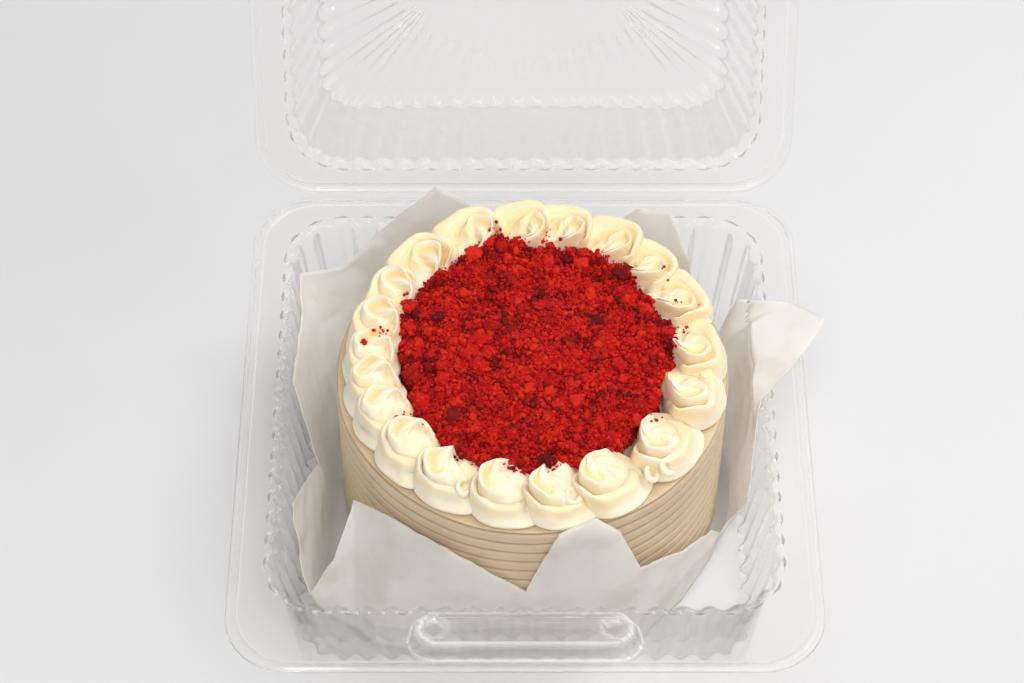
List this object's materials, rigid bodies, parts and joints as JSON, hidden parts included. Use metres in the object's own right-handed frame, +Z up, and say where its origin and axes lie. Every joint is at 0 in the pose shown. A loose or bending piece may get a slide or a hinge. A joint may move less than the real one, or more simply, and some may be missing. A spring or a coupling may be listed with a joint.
{
  "type": "red velvet cake in a clear hinged box",
  "caption": "Round frosted cake with combed sides, piped shell border and a heap of red crumbs, lined with paper in a clear hinged box whose lid stands open.",
  "frame": {"origin": "centre of the tray's flat underside, on the surface that the box stands on", "axes": "+Z up, -Y towards the front with the latch bar, +Y towards the hinge, +X to the right seen from the front"},
  "size_m": [0.2376, 0.3655, 0.267],
  "materials": {
    "clear_plastic": "clear thin thermoformed sheet, glossy",
    "paper": "thin translucent baking paper, matt, creased",
    "frosting": "cream-coloured soft frosting, satin",
    "crumb": "moist red sponge crumbs, matt"
  },
  "bodies": {
    "box": {"tray": "clear_plastic", "paper": "paper", "cake": "frosting", "crumbs": "crumb", "shell_01": "frosting", "shell_02": "frosting", "shell_03": "frosting", "shell_04": "frosting", "shell_05": "frosting", "shell_06": "frosting", "shell_07": "frosting", "shell_08": "frosting", "shell_09": "frosting", "shell_10": "frosting", "shell_11": "frosting", "shell_12": "frosting", "shell_13": "frosting", "shell_14": "frosting", "shell_15": "frosting", "shell_16": "frosting", "shell_17": "frosting", "shell_18": "frosting", "shell_19": "frosting", "shell_20": "frosting"},
    "lid": {"lid": "clear_plastic"}
  },
  "joints": [
    {"name": "lid_hinge", "type": "hinge", "parent": "box", "child": "lid", "pos_m": [0, 0.11, 0.052], "axis": [1, 0, 0], "range_deg": [-65, 115], "deforming": ["paper"]}
  ]
}
